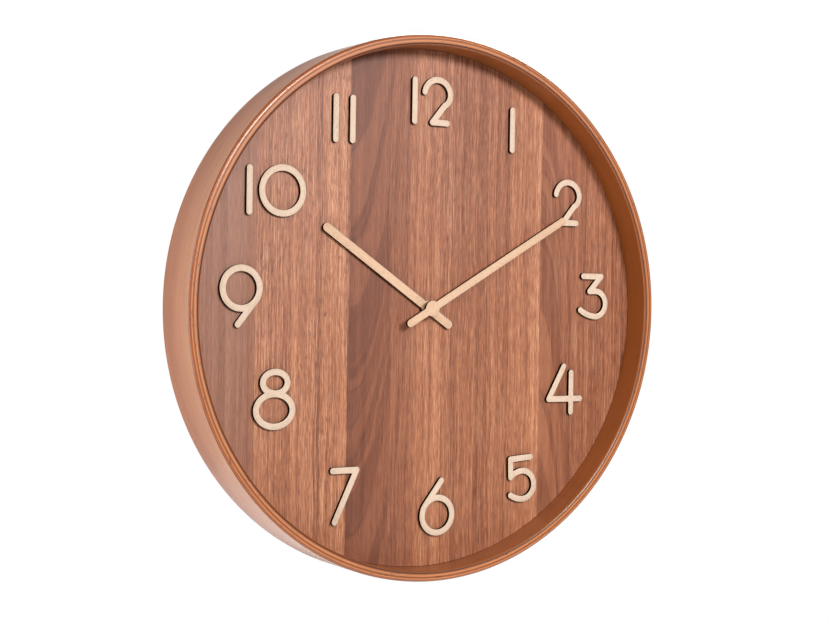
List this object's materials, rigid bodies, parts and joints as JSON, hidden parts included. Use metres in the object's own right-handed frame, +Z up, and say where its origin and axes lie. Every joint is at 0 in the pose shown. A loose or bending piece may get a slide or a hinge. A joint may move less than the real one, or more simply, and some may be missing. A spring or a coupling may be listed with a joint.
{
  "type": "wall clock",
  "caption": "Round analogue wall clock: bent plywood hoop, recessed walnut dial with raised wooden numerals, two wooden hands and a battery quartz movement.",
  "frame": {"origin": "centre of the hanging hole in the steel hanger plate, at the wall plane", "axes": "+Z up, +Y into the wall, -Y out of the face towards the viewer, +X to the viewer's right"},
  "size_m": [0.4, 0.0454, 0.4],
  "materials": {
    "hoop_ply": "satin",
    "dial_walnut": "satin",
    "board_core": "matte",
    "pale_ply": "matte",
    "cleat_wood": "matte",
    "zinc_steel": "satin",
    "brass": "satin",
    "aluminium": "satin",
    "black_plastic": "matte",
    "white_plastic": "matte",
    "red_plastic": "matte",
    "rubber": "matte",
    "circuit_green": "satin",
    "copper_wire": "satin",
    "magnet": "matte",
    "cell_jacket": "gloss"
  },
  "bodies": {
    "case": {"case_hoop": "hoop_ply", "cleats": "cleat_wood", "cleat_screws": "zinc_steel", "dial_board": "board_core", "dial_veneer": "dial_walnut", "movement_housing": "black_plastic", "movement_front_plate": "black_plastic", "movement_bush": "brass", "rubber_washer": "rubber", "steel_washer": "zinc_steel", "ring_nut": "brass", "train_bridge": "white_plastic", "coil_stator": "zinc_steel", "coil_core": "zinc_steel", "coil_bobbin": "black_plastic", "coil_winding": "copper_wire", "circuit_board": "circuit_green", "circuit_chip": "black_plastic", "crystal": "zinc_steel", "contact_positive": "zinc_steel", "contact_negative": "zinc_steel", "hanger_blocks": "cleat_wood", "hanger_plate": "zinc_steel", "hanger_screws": "zinc_steel", "numeral_1": "pale_ply", "numeral_2": "pale_ply", "numeral_3": "pale_ply", "numeral_4": "pale_ply", "numeral_5": "pale_ply", "numeral_6": "pale_ply", "numeral_7": "pale_ply", "numeral_8": "pale_ply", "numeral_9": "pale_ply", "numeral_10": "pale_ply", "numeral_11": "pale_ply", "numeral_12": "pale_ply"},
    "hour_hand": {"hour_hand": "pale_ply", "hour_hand_bush": "aluminium", "hour_wheel": "white_plastic"},
    "minute_hand": {"minute_hand": "pale_ply", "minute_hand_bush": "aluminium", "minute_arbor": "brass"},
    "setting_work": {"motion_wheel": "white_plastic", "setting_knob": "red_plastic"},
    "centre_wheel": {"centre_wheel": "white_plastic"},
    "third_wheel": {"third_wheel": "white_plastic"},
    "seconds_wheel": {"seconds_wheel": "white_plastic"},
    "intermediate_wheel": {"intermediate_wheel": "white_plastic"},
    "rotor": {"rotor_pinion": "white_plastic", "rotor_magnet": "magnet"},
    "battery": {"battery_cell": "cell_jacket"}
  },
  "joints": [
    {"name": "minute_hand_turn", "type": "hinge", "parent": "case", "child": "minute_hand", "pos_m": [0, 0, -0.148], "axis": [0, 1, 0], "continuous": true},
    {"name": "hour_hand_turn", "type": "hinge", "parent": "case", "child": "hour_hand", "pos_m": [0, 0, -0.148], "axis": [0, 1, 0], "continuous": true},
    {"name": "setting_turn", "type": "hinge", "parent": "case", "child": "setting_work", "pos_m": [0.0096, 0, -0.148], "axis": [0, 1, 0], "continuous": true},
    {"name": "seconds_wheel_turn", "type": "hinge", "parent": "case", "child": "seconds_wheel", "pos_m": [0, 0, -0.148], "axis": [0, 1, 0], "continuous": true},
    {"name": "third_wheel_turn", "type": "hinge", "parent": "case", "child": "third_wheel", "pos_m": [-0.00736, 0, -0.14375], "axis": [0, 1, 0], "continuous": true},
    {"name": "centre_wheel_turn", "type": "hinge", "parent": "case", "child": "centre_wheel", "pos_m": [0, 0, -0.148], "axis": [0, 1, 0], "continuous": true},
    {"name": "intermediate_wheel_turn", "type": "hinge", "parent": "case", "child": "intermediate_wheel", "pos_m": [0.00151, 0, -0.13943], "axis": [0, 1, 0], "continuous": true},
    {"name": "rotor_turn", "type": "hinge", "parent": "case", "child": "rotor", "pos_m": [0.00696, 0, -0.13399], "axis": [0, 1, 0], "continuous": true},
    {"name": "battery_slide", "type": "slide", "parent": "case", "child": "battery", "axis": [0, 1, 0], "range_m": [0, 0.02]}
  ],
  "couplings": [
    {"joint": "hour_hand_turn", "follows": "minute_hand_turn", "ratio": 0.083333},
    {"joint": "setting_turn", "follows": "minute_hand_turn", "ratio": -0.33333},
    {"joint": "third_wheel_turn", "follows": "seconds_wheel_turn", "ratio": -0.13333},
    {"joint": "centre_wheel_turn", "follows": "seconds_wheel_turn", "ratio": 0.016667},
    {"joint": "intermediate_wheel_turn", "follows": "seconds_wheel_turn", "ratio": -5},
    {"joint": "rotor_turn", "follows": "seconds_wheel_turn", "ratio": 30}
  ]
}
